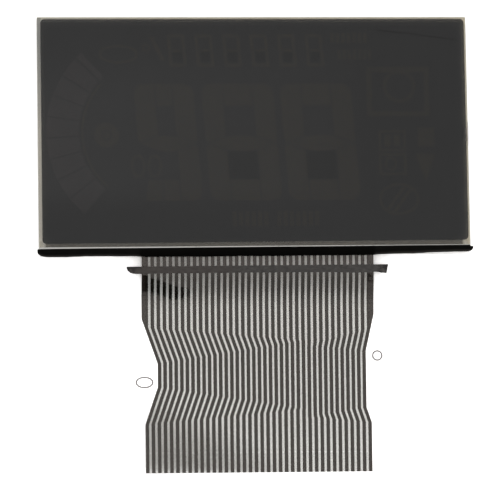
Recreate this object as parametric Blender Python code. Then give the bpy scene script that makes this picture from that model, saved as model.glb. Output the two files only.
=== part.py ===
"""Segmented liquid crystal display cell with a printed heat-seal ribbon, lying face up.

Metres, +Z up. The origin is the centre of the rear glass's outline, on the surface that
the display lies on. +X runs to the right of the picture, +Y to its top, and the ribbon
leaves towards -Y. Across the ribbon, u runs with +X from its centre line, and v is the
distance down from the front glass's lower edge.
"""

import math

import bmesh
import bpy

# Glass cell
GLASS_WIDTH = 0.0897
FRONT_GLASS_HEIGHT = 0.0482
LEDGE_DEPTH = 0.0014            # the rear glass's contact ledge, below the front glass
GLASS_THICKNESS = 0.0011
CELL_GAP = 0.00001
FRONT_EDGE_BEVEL = 0.0003       # ground bevel above the ledge
GLASS_SEAM = 0.00006            # broken edge round each pane's outer face
LAYER_GAP = 0.000001            # between faces laid on each other
SIDE_GAP = 0.00001              # between pieces side by side

# Polarisers
POLARISER_THICKNESS = 0.0002
POLARISER_CORNER = 0.0008
FRONT_MARGIN_SIDE = 0.00059
FRONT_MARGIN_TOP = 0.00049
FRONT_MARGIN_BOTTOM = 0.00116
FRONT_SHIFT = 0.00014           # laid slightly to the right
FRONT_TAPER = 0.0026            # its lower edge rises this much to the right, cut out of square
REAR_MARGIN = 0.0006

# Perimeter seal, with its filling port in the right-hand side
SEAL_INSET = 0.0004
SEAL_WIDTH = 0.0011
SEAL_CORNER = 0.0030            # outer radius, clear of the crossover dots
PORT_WIDTH = 0.0027
PORT_LIP = 0.0008
PORT_RISE = -0.0006             # the port's centre above the front glass's middle
PLUG_DEPTH = 0.0010
PLUG_LENGTH = 0.0058
PLUG_BULGE = 0.00042
PLUG_HEIGHT = 0.0017
DOT_DIAMETER = 0.0007
DOT_INSET = 0.00075

# Black bead along the ledge
BEAD_LEFT_OVERHANG = 0.0003
BEAD_RIGHT_OVERHANG = 0.0007
BEAD_DEPTH_LEFT = 0.0017
BEAD_DEPTH_MIDDLE = 0.00155
BEAD_DEPTH_RIGHT = 0.0012
BEAD_BELOW_BEVEL = 0.00004
BEAD_END_LEFT = 0.0026          # how far the left end takes to reach its full depth
BEAD_END_RIGHT = 0.0018
BEAD_ROUNDNESS = 2.4
BEAD_STATIONS = 40
BEAD_FACETS = 7

# Ribbon
FILM_MARGIN = 0.0037            # bare film on each side of the traces
FILM_THICKNESS = 0.00005
INK_THICKNESS = 0.00002
COAT_THICKNESS = 0.00002        # cover coat and both bonding coats
RIBBON_START = 0.00035
RIBBON_END = 0.0464
RIBBON_OFFSET = 0.00037
RIBBON_SKEW = math.radians(-0.3)
BOND_LENGTH = 0.0010
COAT_START = 0.0026
COAT_SIDE_MARGIN = 0.0002
TAIL_LENGTH = 0.0040
TAIL_GAP = 0.0003
BOND_SIDE_MARGIN = 0.0006

# Where the ribbon comes down from the ledge: level past the tape, then a soft drop
LEDGE_RUN_OUT = 0.0030
DROP_LENGTH = 0.0095
DROP_FACETS = 12

# The free end's left-hand corner, which curls up from a slanting fold line
CURL_ANGLE = math.radians(27)
CURL_REACH = 0.0186             # from the fold line to the corner
CURL_BEND = 0.0042
CURL_RISE = math.radians(3.4)
CURL_FACETS = 4

# Printed traces
TRACE_COUNT = 38
TRACE_PITCH = 0.00125
NECK_PITCH = 0.00115
NECK_SHIFT = 0.0008             # the neck's centre line, right of the ribbon's
TRACE_WIDTH = 0.00074
PAD_EXTRA_LEFT = 0.0006         # the two outermost traces are wider above the neck
PAD_EXTRA_RIGHT = 0.0007
# Each row of bends lies on two straight lines that meet at the trace that runs straight
FIRST_BEND = {"left": 0.0163, "meet_left": 0.0191, "meet_right": 0.0202, "right": 0.0168}
SECOND_BEND = {"left": 0.0238, "meet_left": 0.0192, "meet_right": 0.0203, "right": 0.0214}
THIRD_BEND = {"left": 0.0287, "meet_left": 0.0333, "meet_right": 0.0350, "right": 0.0331}
FOURTH_BEND = {"left": 0.0364, "meet_left": 0.0334, "meet_right": 0.0351, "right": 0.0362}
BENDS = (FIRST_BEND, SECOND_BEND, THIRD_BEND, FOURTH_BEND)

# Holes that line the ribbon up
HOLE_DIAMETER = 0.0020
OVAL_LENGTH = 0.0034
OVAL_FROM_EDGE = 0.00362
OVAL_V = 0.02772
ROUND_FROM_EDGE = 0.00231
ROUND_V = 0.02245
HOLE_FACETS = 28

# Dark tape across the ribbon
TAPE_TOP_V = 0.00379
TAPE_WIDTH = 0.00138
TAPE_THICKNESS = 0.00006
TAPE_END_DROP = 0.00027         # the trimmed ends hang a little lower
TAPE_END_LENGTH = 0.0026
TAPE_LEFT_CUT = 0.0012
TAPE_RIGHT_CUT = 0.00035

CORNER_FACETS = 6

# Heights, from the surface up
REAR_GLASS_Z = POLARISER_THICKNESS + LAYER_GAP
LEDGE_Z = REAR_GLASS_Z + GLASS_THICKNESS
FRONT_GLASS_Z = LEDGE_Z + CELL_GAP
FRONT_TOP_Z = FRONT_GLASS_Z + GLASS_THICKNESS
RIBBON_SEAT_Z = LEDGE_Z + LAYER_GAP
INK_LOW = COAT_THICKNESS + LAYER_GAP
FILM_LOW = INK_LOW + INK_THICKNESS + LAYER_GAP
FILM_HIGH = FILM_LOW + FILM_THICKNESS

# Plan of the ribbon
FIELD_HALF = (TRACE_COUNT - 1) / 2 * TRACE_PITCH + TRACE_WIDTH / 2
FILM_HALF = FIELD_HALF + FILM_MARGIN

# Plan of the cell
REAR_GLASS_HEIGHT = FRONT_GLASS_HEIGHT + LEDGE_DEPTH
HALF_WIDTH = GLASS_WIDTH / 2
REAR_BOTTOM = -REAR_GLASS_HEIGHT / 2
TOP = REAR_GLASS_HEIGHT / 2
FRONT_BOTTOM = REAR_BOTTOM + LEDGE_DEPTH
PORT_Y = (TOP + FRONT_BOTTOM) / 2 + PORT_RISE


def clear_scene():
    for old in list(bpy.data.objects):
        bpy.data.objects.remove(old, do_unlink=True)


def finish(name, color, roughness, metallic=0.0, alpha=1.0):
    material = bpy.data.materials.new(name)
    material.use_nodes = True
    shader = material.node_tree.nodes["Principled BSDF"]
    shader.inputs["Base Color"].default_value = (*color, 1.0)
    shader.inputs["Roughness"].default_value = roughness
    shader.inputs["Metallic"].default_value = metallic
    shader.inputs["Alpha"].default_value = alpha
    return material


def add_object(name, bm, material=None, parent=None, smooth_angle=None):
    bmesh.ops.recalc_face_normals(bm, faces=bm.faces)
    mesh = bpy.data.meshes.new(name)
    bm.to_mesh(mesh)
    bm.free()
    if smooth_angle is not None:
        mesh.shade_smooth()
        mesh.set_sharp_from_angle(angle=smooth_angle)
    if material is not None:
        mesh.materials.append(material)
    piece = bpy.data.objects.new(name, mesh)
    piece.parent = parent
    bpy.context.collection.objects.link(piece)
    return piece


def as_cutter(piece):
    piece.hide_render = True
    piece.display_type = "WIRE"
    return piece


def combine(piece, cutter, operation):
    modifier = piece.modifiers.new(cutter.name, "BOOLEAN")
    modifier.operation = operation
    modifier.solver = "EXACT"
    modifier.object = cutter


def arc(cx, cy, radius, start, end, facets):
    steps = [start + (end - start) * k / facets for k in range(facets + 1)]
    return [(cx + radius * math.cos(a), cy + radius * math.sin(a)) for a in steps]


def rounded_rectangle(x0, y0, x1, y1, radius):
    quarter = math.pi / 2
    centres = [(x1 - radius, y1 - radius), (x0 + radius, y1 - radius),
               (x0 + radius, y0 + radius), (x1 - radius, y0 + radius)]
    outline = []
    for turn, (cx, cy) in enumerate(centres):
        outline += arc(cx, cy, radius, turn * quarter, (turn + 1) * quarter, CORNER_FACETS)
    return outline


def extrude(outline, z0, z1):
    bm = bmesh.new()
    base = bm.faces.new([bm.verts.new((x, y, z0)) for x, y in outline])
    raised = bmesh.ops.extrude_face_region(bm, geom=[base])["geom"]
    tops = [v for v in raised if isinstance(v, bmesh.types.BMVert)]
    for vert in tops:
        vert.co.z = z1
    return bm


def chamfer(bm, point, normal):
    """Grinds one edge off: everything beyond a plane through the point goes."""
    everything = bm.verts[:] + bm.edges[:] + bm.faces[:]
    bmesh.ops.bisect_plane(bm, geom=everything, plane_co=point, plane_no=normal,
                           dist=LAYER_GAP / 10, clear_outer=True)
    bmesh.ops.edgeloop_fill(bm, edges=[e for e in bm.edges if e.is_boundary])


def pane(name, y0, y1, z0, material, lower_bevel, face_up):
    """A pane of cut glass. The rim of its outer face is seamed on all four sides, with
    lower_bevel along the lower one, and the rim of its inner face is left as cut."""
    outline = [(-HALF_WIDTH, y0), (HALF_WIDTH, y0), (HALF_WIDTH, y1), (-HALF_WIDTH, y1)]
    bm = extrude(outline, z0, z0 + GLASS_THICKNESS)
    face_z = z0 + GLASS_THICKNESS if face_up else z0
    for side_x, side_y, size in ((1, 0, GLASS_SEAM), (-1, 0, GLASS_SEAM),
                                 (0, 1, GLASS_SEAM), (0, -1, lower_bevel)):
        edge_y = y1 if side_y > 0 else y0
        point = (side_x * (HALF_WIDTH - size), edge_y - side_y * size, face_z)
        chamfer(bm, point, (side_x, side_y, 1 if face_up else -1))
    return add_object(name, bm, material)


def seal_outlines():
    """The seal's outline, and that of the cavity it closes, with the port at the right."""
    x_out, y_low, y_high = HALF_WIDTH - SEAL_INSET, FRONT_BOTTOM + SEAL_INSET, TOP - SEAL_INSET
    x_in, inner = x_out - SEAL_WIDTH, SEAL_CORNER - SEAL_WIDTH
    lip_x = HALF_WIDTH - SIDE_GAP
    port_low, port_high = PORT_Y - PORT_WIDTH / 2, PORT_Y + PORT_WIDTH / 2
    outer = rounded_rectangle(-x_out, y_low, x_out, y_high, SEAL_CORNER)
    hollow = rounded_rectangle(-x_in, y_low + SEAL_WIDTH, x_in, y_high - SEAL_WIDTH, inner)
    lips_outside = [(x_out, port_high + PORT_LIP), (lip_x, port_high + PORT_LIP), (lip_x, port_high)]
    lips_inside = [(lip_x, port_low), (lip_x, port_low - PORT_LIP), (x_out, port_low - PORT_LIP)]
    seal = outer + lips_inside[::-1] + [(x_in, port_low)] + hollow[::-1]
    seal += [(x_in, port_high)] + lips_outside[::-1]
    tab_x = HALF_WIDTH - PLUG_DEPTH - SIDE_GAP
    gap = SIDE_GAP
    cavity = rounded_rectangle(-x_in + gap, y_low + SEAL_WIDTH + gap, x_in - gap,
                               y_high - SEAL_WIDTH - gap, inner - gap)
    tab = [(x_in - gap, port_low + gap), (tab_x, port_low + gap),
           (tab_x, port_high - gap), (x_in - gap, port_high - gap)]
    return seal, cavity + tab


def make_polarisers(material):
    rear = rounded_rectangle(-HALF_WIDTH + REAR_MARGIN, REAR_BOTTOM + REAR_MARGIN,
                             HALF_WIDTH - REAR_MARGIN, TOP - REAR_MARGIN, POLARISER_CORNER)
    add_object("rear_polariser", extrude(rear, 0, POLARISER_THICKNESS), material)
    low, high = FRONT_BOTTOM + FRONT_MARGIN_BOTTOM, TOP - FRONT_MARGIN_TOP
    front = rounded_rectangle(FRONT_SHIFT - HALF_WIDTH + FRONT_MARGIN_SIDE, low,
                              FRONT_SHIFT + HALF_WIDTH - FRONT_MARGIN_SIDE, high, POLARISER_CORNER)
    front = [(x, y + x * FRONT_TAPER * (high - y) / (high - low)) for x, y in front]
    z = FRONT_TOP_Z + LAYER_GAP
    add_object("front_polariser", extrude(front, z, z + POLARISER_THICKNESS), material)


def make_cell(glass, epoxy, crystal, silver):
    pane("rear_glass", REAR_BOTTOM, TOP, REAR_GLASS_Z, glass, GLASS_SEAM, face_up=False)
    pane("front_glass", FRONT_BOTTOM, TOP, FRONT_GLASS_Z, glass, FRONT_EDGE_BEVEL, face_up=True)
    low, high = LEDGE_Z + LAYER_GAP, FRONT_GLASS_Z - LAYER_GAP
    seal, cavity = seal_outlines()
    add_object("perimeter_seal", extrude(seal, low, high), epoxy)
    add_object("liquid_crystal", extrude(cavity, low, high), crystal)
    for name, side in (("crossover_dot_left", -1), ("crossover_dot_right", 1)):
        x, y = side * (HALF_WIDTH - DOT_INSET), FRONT_BOTTOM + DOT_INSET
        ring = arc(x, y, DOT_DIAMETER / 2, 0, 2 * math.pi, HOLE_FACETS)[:-1]
        add_object(name, extrude(ring, low, high), silver)


def make_end_seal(material):
    """Resin drawn into the filling port, with the drop left standing on the glass's edge."""
    edge = HALF_WIDTH + SIDE_GAP
    bm = bmesh.new()
    bmesh.ops.create_uvsphere(bm, u_segments=24, v_segments=12, radius=1)
    middle = (LEDGE_Z + FRONT_GLASS_Z) / 2
    for vert in bm.verts:
        vert.co.x = edge + vert.co.x * PLUG_BULGE
        vert.co.y = PORT_Y + vert.co.y * PLUG_LENGTH / 2
        vert.co.z = middle + vert.co.z * PLUG_HEIGHT / 2
    everything = bm.verts[:] + bm.edges[:] + bm.faces[:]
    bmesh.ops.bisect_plane(bm, geom=everything, plane_co=(edge, 0, 0), plane_no=(1, 0, 0),
                           dist=LAYER_GAP, clear_inner=True)
    rim = [e for e in bm.edges if e.is_boundary]
    bmesh.ops.edgeloop_fill(bm, edges=rim)
    drop = add_object("end_seal", bm, material, smooth_angle=math.radians(60))
    half = PORT_WIDTH / 2 - SIDE_GAP
    x0, x1 = HALF_WIDTH - PLUG_DEPTH, edge + PLUG_BULGE / 3
    tongue = extrude([(x0, PORT_Y - half), (x1, PORT_Y - half), (x1, PORT_Y + half),
                      (x0, PORT_Y + half)], LEDGE_Z + LAYER_GAP, FRONT_GLASS_Z - LAYER_GAP)
    combine(drop, as_cutter(add_object("port_tongue", tongue)), "UNION")


def bead_depth(x):
    """How far the bead reaches down from the front glass's edge, before its ends round off."""
    t = (x + HALF_WIDTH) / GLASS_WIDTH
    if t < 0.5:
        return BEAD_DEPTH_MIDDLE + (BEAD_DEPTH_LEFT - BEAD_DEPTH_MIDDLE) * max(0, 1 - 4 * t)
    fall = max(0, (t - 0.75) * 4)
    return BEAD_DEPTH_MIDDLE + (BEAD_DEPTH_RIGHT - BEAD_DEPTH_MIDDLE) * fall


def end_rounding(distance, length):
    t = min(1, max(0, distance / length))
    return math.sqrt(1 - (1 - t) ** 2)


def make_bead(material, ribbon):
    left, right = -HALF_WIDTH - BEAD_LEFT_OVERHANG, HALF_WIDTH + BEAD_RIGHT_OVERHANG
    back = FRONT_BOTTOM - SIDE_GAP
    low = LEDGE_Z + LAYER_GAP
    height = FRONT_TOP_Z - FRONT_EDGE_BEVEL - BEAD_BELOW_BEVEL - low
    smallest = 0.12
    bm = bmesh.new()
    sections = []
    for k in range(BEAD_STATIONS + 1):
        # stations crowd towards both ends, where the bead rounds off
        x = (left + right) / 2 - (right - left) / 2 * math.cos(math.pi * k / BEAD_STATIONS)
        rounding = min(end_rounding(x - left, BEAD_END_LEFT), end_rounding(right - x, BEAD_END_RIGHT))
        rounding = smallest + (1 - smallest) * rounding
        depth = bead_depth(x) * rounding
        tall = height * rounding ** 0.5
        section = [bm.verts.new((x, back, low))]
        for n in range(BEAD_FACETS + 1):
            a = math.pi / 2 * n / BEAD_FACETS
            out = math.sin(a) ** (2 / BEAD_ROUNDNESS)
            up = math.cos(a) ** (2 / BEAD_ROUNDNESS) if n < BEAD_FACETS else 0
            section.append(bm.verts.new((x, back - depth * out, low + tall * up)))
        sections.append(section)
    count = len(sections[0])
    for one, two in zip(sections, sections[1:]):
        for n in range(count):
            m = (n + 1) % count
            bm.faces.new((one[n], one[m], two[m], two[n]))
    bm.faces.new(sections[0])
    bm.faces.new(sections[-1][::-1])
    bead = add_object("ledge_bead", bm, material, smooth_angle=math.radians(50))
    half = FILM_HALF + SIDE_GAP
    v0, v1 = RIBBON_START - SIDE_GAP, BEAD_DEPTH_LEFT + LEDGE_DEPTH
    channel = extrude([(-half, -v1), (half, -v1), (half, -v0), (-half, -v0)],
                      LEDGE_Z - GLASS_THICKNESS, RIBBON_SEAT_Z + FILM_HIGH + LAYER_GAP)
    combine(bead, as_cutter(add_object("ribbon_channel", channel, parent=ribbon)), "DIFFERENCE")


def drop_share(t):
    """Share of the ledge's height left at t of the way down the drop."""
    return (1 - t) ** 3 * (1 + 3 * t)


def curl_rise(s):
    """Rise at a distance s past the fold line: a round bend, then straight."""
    bend = min(s, CURL_BEND)
    return math.tan(CURL_RISE) * (bend * bend / (2 * CURL_BEND) + s - bend)


def between(value, stations, heights):
    """Height on a chain of flat facets that turn at the stations."""
    if value <= stations[0]:
        return heights[0]
    for s0, s1, h0, h1 in zip(stations, stations[1:], heights, heights[1:]):
        if value < s1:
            return h0 + (h1 - h0) * (value - s0) / (s1 - s0)
    return heights[-1]


DROP_STEPS = [k / DROP_FACETS for k in range(DROP_FACETS + 1)]
DROP_LINES = [LEDGE_DEPTH + LEDGE_RUN_OUT + DROP_LENGTH * t for t in DROP_STEPS]
DROP_HEIGHTS = [RIBBON_SEAT_Z * drop_share(t) for t in DROP_STEPS]
CURL_LINES = [CURL_BEND * k / CURL_FACETS for k in range(CURL_FACETS + 1)]
CURL_LINES.append(CURL_BEND + CURL_REACH)       # past the corner, where nothing is cut
CURL_HEIGHTS = [curl_rise(s) for s in CURL_LINES]
CURL_NORMAL = (-math.sin(CURL_ANGLE), -math.cos(CURL_ANGLE), 0)


def past_fold(u, y):
    """Distance past the curl's fold line, measured square to it."""
    corner = CURL_REACH - CURL_NORMAL[0] * -FILM_HALF - CURL_NORMAL[1] * -RIBBON_END
    return corner + CURL_NORMAL[0] * u + CURL_NORMAL[1] * y


def lay_ribbon(bm):
    """Bends a flat layer over the ribbon's fold lines. Every layer is cut along the same
    lines, so that its facets lie flat on those of the layer below."""
    cuts = [((0, -v, 0), (0, -1, 0)) for v in DROP_LINES]
    for s in CURL_LINES[:-1]:
        reach = s - past_fold(0, 0)
        cuts.append(((CURL_NORMAL[0] * reach, CURL_NORMAL[1] * reach, 0), CURL_NORMAL))
    for point, normal in cuts:
        everything = bm.verts[:] + bm.edges[:] + bm.faces[:]
        bmesh.ops.bisect_plane(bm, geom=everything, plane_co=point, plane_no=normal,
                               dist=LAYER_GAP / 10)
    for vert in bm.verts:
        u, y, _ = vert.co
        vert.co.z += between(-y, DROP_LINES, DROP_HEIGHTS)
        vert.co.z += between(past_fold(u, y), CURL_LINES, CURL_HEIGHTS)


def add_layer(name, outline, low, thickness, material, ribbon):
    """One layer of the ribbon, from its outline in u and v."""
    bm = extrude([(u, -v) for u, v in outline], low, low + thickness)
    lay_ribbon(bm)
    return add_object(name, bm, material, ribbon)


def add_sheet(name, half, v0, v1, low, thickness, material, ribbon):
    outline = [(-half, v0), (half, v0), (half, v1), (-half, v1)]
    return add_layer(name, outline, low, thickness, material, ribbon)


def trace_bend(bend, index, neutral):
    """v at which a trace turns, on the line from the outermost trace to the straight one."""
    if index <= neutral:
        share = index / neutral
        return bend["left"] + (bend["meet_left"] - bend["left"]) * share
    share = (TRACE_COUNT - 1 - index) / (TRACE_COUNT - 1 - neutral)
    return bend["right"] + (bend["meet_right"] - bend["right"]) * share


def widen_top(edge, extra):
    """Moves the upper run of an outermost edge out, to where it meets the slanted run."""
    (u0, v0), (u1, v1), (u2, v2) = edge[:3]
    edge[:2] = [(u0 + extra, v0), (u1 + extra, v1 + extra * (v2 - v1) / (u2 - u1))]


def make_traces(ink, ribbon):
    middle = (TRACE_COUNT - 1) / 2
    neutral = middle + NECK_SHIFT / (TRACE_PITCH - NECK_PITCH)
    neutral = min(max(neutral, 1), TRACE_COUNT - 2)
    half = TRACE_WIDTH / 2
    for index in range(TRACE_COUNT):
        wide_u = (index - middle) * TRACE_PITCH
        neck_u = (index - middle) * NECK_PITCH + NECK_SHIFT
        bends = [trace_bend(bend, index, neutral) for bend in BENDS]
        path = [(wide_u, RIBBON_START), (wide_u, bends[0]), (neck_u, bends[1]),
                (neck_u, bends[2]), (wide_u, bends[3]), (wide_u, RIBBON_END)]
        left = [(u - half, v) for u, v in path]
        right = [(u + half, v) for u, v in path]
        if index == 0:
            widen_top(left, -PAD_EXTRA_LEFT)
        if index == TRACE_COUNT - 1:
            widen_top(right, PAD_EXTRA_RIGHT)
        add_layer(f"trace_{index + 1:02d}", left + right[::-1], INK_LOW, INK_THICKNESS, ink, ribbon)


def hole_cutters(ribbon):
    """The oval and the round hole, as upright cutters through every layer."""
    r = HOLE_DIAMETER / 2
    circle = arc(FILM_HALF - ROUND_FROM_EDGE, -ROUND_V, r, 0, 2 * math.pi, HOLE_FACETS)[:-1]
    middle = -FILM_HALF + OVAL_FROM_EDGE
    oval = [(middle + x * OVAL_LENGTH / HOLE_DIAMETER, y)
            for x, y in arc(0, -OVAL_V, r, 0, 2 * math.pi, HOLE_FACETS)[:-1]]
    return [as_cutter(add_object(name, extrude(outline, -r, r), parent=ribbon))
            for name, outline in (("oval_punch", oval), ("round_punch", circle))]


def make_ribbon_layers(film, coat, adhesive, ribbon):
    layers = [add_sheet("ribbon_film", FILM_HALF, RIBBON_START, RIBBON_END,
                        FILM_LOW, FILM_THICKNESS, film, ribbon),
              add_sheet("ribbon_cover_coat", FILM_HALF - COAT_SIDE_MARGIN, COAT_START,
                        RIBBON_END - TAIL_LENGTH - TAIL_GAP, 0, COAT_THICKNESS, coat, ribbon)]
    punches = hole_cutters(ribbon)
    for layer in layers:
        for punch in punches:
            combine(layer, punch, "DIFFERENCE")
    bond_half = FIELD_HALF + BOND_SIDE_MARGIN
    add_sheet("ledge_bond", bond_half, RIBBON_START, RIBBON_START + BOND_LENGTH,
              0, COAT_THICKNESS, adhesive, ribbon)
    add_sheet("tail_bond", bond_half, RIBBON_END - TAIL_LENGTH, RIBBON_END,
              0, COAT_THICKNESS, adhesive, ribbon)


def make_tape(material, ribbon):
    """Tape across the ribbon, square with the glass, its ends trimmed at the film's edges."""
    half = FILM_HALF
    low = TAPE_TOP_V + TAPE_WIDTH
    end_low = low + TAPE_END_DROP
    neck = half - TAPE_END_LENGTH
    stretch = (end_low - TAPE_TOP_V) / TAPE_LEFT_CUT
    tip = arc(-half + TAPE_LEFT_CUT, 0, TAPE_LEFT_CUT, math.pi, math.pi / 2, CORNER_FACETS)
    outline = [(u, TAPE_TOP_V + rise * stretch) for u, rise in tip]
    outline += [(-neck, low), (neck, low), (neck + TAPE_RIGHT_CUT, (low + end_low) / 2),
                (half - TAPE_RIGHT_CUT, end_low), (half, TAPE_TOP_V)]
    # turned back by the ribbon's skew, about the ribbon's own origin
    turn = math.tan(RIBBON_SKEW)
    outline = [(u, v + u * turn) for u, v in outline]
    add_layer("cross_tape", outline, FILM_HIGH + LAYER_GAP, TAPE_THICKNESS, material, ribbon)


def main():
    clear_scene()
    glass = finish("clear_glass", (0.78, 0.82, 0.80), 0.05, alpha=0.35)
    polariser = finish("polariser_film", (0.036, 0.036, 0.038), 0.18)
    epoxy = finish("seal_epoxy", (0.52, 0.49, 0.42), 0.55)
    crystal = finish("liquid_crystal", (0.30, 0.31, 0.30), 0.30)
    silver = finish("silver_paste", (0.60, 0.60, 0.58), 0.40, metallic=0.6)
    resin = finish("clear_resin", (0.72, 0.70, 0.60), 0.12)
    silicone = finish("black_silicone", (0.006, 0.006, 0.005), 0.35)
    film = finish("clear_film", (0.90, 0.91, 0.90), 0.08, alpha=0.25)
    coat = finish("cover_coat", (0.85, 0.86, 0.84), 0.30, alpha=0.30)
    adhesive = finish("bonding_coat", (0.70, 0.69, 0.64), 0.45, alpha=0.60)
    ink = finish("graphite_ink", (0.065, 0.058, 0.051), 0.45)
    tape = finish("dark_tape", (0.060, 0.056, 0.052), 0.50)

    ribbon = bpy.data.objects.new("ribbon_origin", None)
    ribbon.location = (RIBBON_OFFSET, FRONT_BOTTOM, 0)
    ribbon.rotation_euler.z = RIBBON_SKEW
    bpy.context.collection.objects.link(ribbon)

    make_polarisers(polariser)
    make_cell(glass, epoxy, crystal, silver)
    make_end_seal(resin)
    make_bead(silicone, ribbon)
    make_ribbon_layers(film, coat, adhesive, ribbon)
    make_traces(ink, ribbon)
    make_tape(tape, ribbon)


main()
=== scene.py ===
# LCD screen: glass cell with dark polarisers, black bead and printed ribbon, lying face up.
# Everything is in metres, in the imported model's own frame: +Z up, the ribbon towards -Y.

import math

import bmesh
import bpy
from mathutils import Euler, Matrix, Vector


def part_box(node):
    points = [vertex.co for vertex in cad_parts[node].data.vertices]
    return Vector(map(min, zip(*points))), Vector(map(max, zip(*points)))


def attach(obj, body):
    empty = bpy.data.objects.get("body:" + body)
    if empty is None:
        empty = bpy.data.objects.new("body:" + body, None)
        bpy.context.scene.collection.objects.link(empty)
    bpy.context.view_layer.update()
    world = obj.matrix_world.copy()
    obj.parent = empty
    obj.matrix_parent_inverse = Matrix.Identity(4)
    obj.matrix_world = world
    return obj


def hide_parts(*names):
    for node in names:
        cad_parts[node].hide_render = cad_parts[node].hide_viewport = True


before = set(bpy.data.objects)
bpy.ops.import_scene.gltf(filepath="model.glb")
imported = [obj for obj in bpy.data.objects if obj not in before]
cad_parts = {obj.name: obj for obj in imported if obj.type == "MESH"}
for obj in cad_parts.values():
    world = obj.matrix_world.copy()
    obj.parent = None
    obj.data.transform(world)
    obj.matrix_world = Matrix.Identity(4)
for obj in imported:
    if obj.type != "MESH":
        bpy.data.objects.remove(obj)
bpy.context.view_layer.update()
mm = 0.001


# Sockets as Python values

class Field:
    # one output of a node tree; maths on it adds Math nodes
    def __init__(self, tree, socket=None):
        self.tree = tree
        self.socket = socket

    def make(self, kind, settings=None, inputs=None, output=0):
        node = self.tree.nodes.new(kind)
        for name, value in (settings or {}).items():
            setattr(node, name, value)
        for name, value in (inputs or {}).items():
            for one in value if isinstance(value, list) else [value]:
                if isinstance(one, Field):
                    self.tree.links.new(one.socket, node.inputs[name])
                else:
                    node.inputs[name].default_value = one
        return Field(self.tree, node.outputs[output] if node.outputs else None)

    def math(self, operation, *values):
        return self.make("ShaderNodeMath", {"operation": operation}, dict(enumerate(values)))

    def __add__(self, other):
        return self.math("ADD", self, other)

    def __sub__(self, other):
        return self.math("SUBTRACT", self, other)

    def __rsub__(self, other):
        return self.math("SUBTRACT", other, self)

    def __mul__(self, other):
        return self.math("MULTIPLY", self, other)

    def __truediv__(self, other):
        return self.math("DIVIDE", self, other)

    def __pow__(self, other):
        return self.math("POWER", self, other)

    def __neg__(self):
        return self.math("MULTIPLY", self, -1.0)

    __radd__ = __add__
    __rmul__ = __mul__

    def size(self):
        return self.math("ABSOLUTE", self)

    def smaller(self, other):
        return self.math("MINIMUM", self, other)

    def larger(self, other):
        return self.math("MAXIMUM", self, other)

    def ease(self, low, high):
        # 0 below low, 1 above high, smooth between; turned round where low is the higher
        if low > high:
            return 1 - self.ease(high, low)
        return self.make("ShaderNodeMapRange", {"interpolation_type": "SMOOTHSTEP"},
                         {"Value": self, "From Min": low, "From Max": high})

    def ramp(self, low, high):
        # 0 at low, 1 at high, straight between
        return self.make("ShaderNodeMapRange", None,
                         {"Value": self, "From Min": low, "From Max": high})

    def past(self, edge, soft):
        # 0 before an edge, 1 past it
        return self.ease(edge - soft, edge + soft)

    def between(self, low, high, soft):
        return self.past(low, soft) * (1 - self.past(high, soft))

    def parts(self):
        split = self.make("ShaderNodeSeparateXYZ", None, {0: self}).socket.node
        return [Field(self.tree, output) for output in split.outputs]


def colour(red, green, blue):
    return (red, green, blue, 1.0)


def makeFinish(name, surface, plan):
    material = bpy.data.materials.new(name)
    material.use_nodes = True
    material.node_tree.nodes.clear()
    root = Field(material.node_tree)
    root.make("ShaderNodeOutputMaterial", None, {"Surface": surface(root, plan)})
    return material


def place(root):
    return root.make("ShaderNodeTexCoord", output="Object")


def noise(root, where, scale, detail=3.0, roughness=0.5):
    return root.make("ShaderNodeTexNoise", None,
                     {"Vector": where, "Scale": scale, "Detail": detail, "Roughness": roughness},
                     output="Fac")


def blendColour(root, share, first, second):
    # of the Mix node's sockets, inputs 6 and 7 and output 2 are the ones for colours
    return root.make("ShaderNodeMix", {"data_type": "RGBA", "clamp_factor": True},
                     {0: share, 6: first, 7: second}, output=2)


def bump(root, height, distance=1.0):
    return root.make("ShaderNodeBump", None,
                     {"Height": height, "Distance": distance, "Strength": 1.0})


def mixShaders(root, share, first, second):
    return root.make("ShaderNodeMixShader", None, {0: share, 1: first, 2: second})


def clearShader(root, tint):
    return root.make("ShaderNodeBsdfTransparent", None, {"Color": tint})


def glossShader(root, tint, roughness):
    return root.make("ShaderNodeBsdfGlossy", None, {"Color": tint, "Roughness": roughness})


def solidShader(root, tone, roughness, specular=0.5, metallic=0.0, normal=None):
    inputs = {"Base Color": tone, "Roughness": roughness, "Specular IOR Level": specular,
              "Metallic": metallic}
    if normal is not None:
        inputs["Normal"] = normal
    return root.make("ShaderNodeBsdfPrincipled", None, inputs)


def outerGloss(root, bend):
    # the share that a clear sheet mirrors, both its faces counted at the outer one
    inner = root.make("ShaderNodeNewGeometry", output="Backfacing")
    return root.make("ShaderNodeFresnel", None, {"IOR": bend}) * (1 - inner)


def objectFromBmesh(name, bm):
    mesh = bpy.data.meshes.new(name)
    bm.to_mesh(mesh)
    bm.free()
    return bpy.data.objects.new(name, mesh)


def show(thing):
    bpy.context.scene.collection.objects.link(thing)
    return thing


# The ribbon's own directions: u across it and v down it, turned a little with the glass

ribbonPlan = {
    "origin": (0.37 * mm, -23.4 * mm),
    "skew": math.radians(-0.3),
    "filmHalf": 27.195 * mm,
    "filmTop": 0.093 * mm,
    "seat": 1.302 * mm,
    "dropStart": 4.4 * mm,
    "dropLength": 9.5 * mm,
    "dropFacets": 12,
}


def ribbonPoint(u, v, z=0.0):
    ox, oy = ribbonPlan["origin"]
    c, s = math.cos(ribbonPlan["skew"]), math.sin(ribbonPlan["skew"])
    return Vector((ox + u * c + v * s, oy + u * s - v * c, z))


def ribbonPlace(where):
    # the same two directions as fields
    x, y, _ = where.parts()
    ox, oy = ribbonPlan["origin"]
    c, s = math.cos(ribbonPlan["skew"]), math.sin(ribbonPlan["skew"])
    return (x - ox) * c + (y - oy) * s, (x - ox) * s - (y - oy) * c


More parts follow.
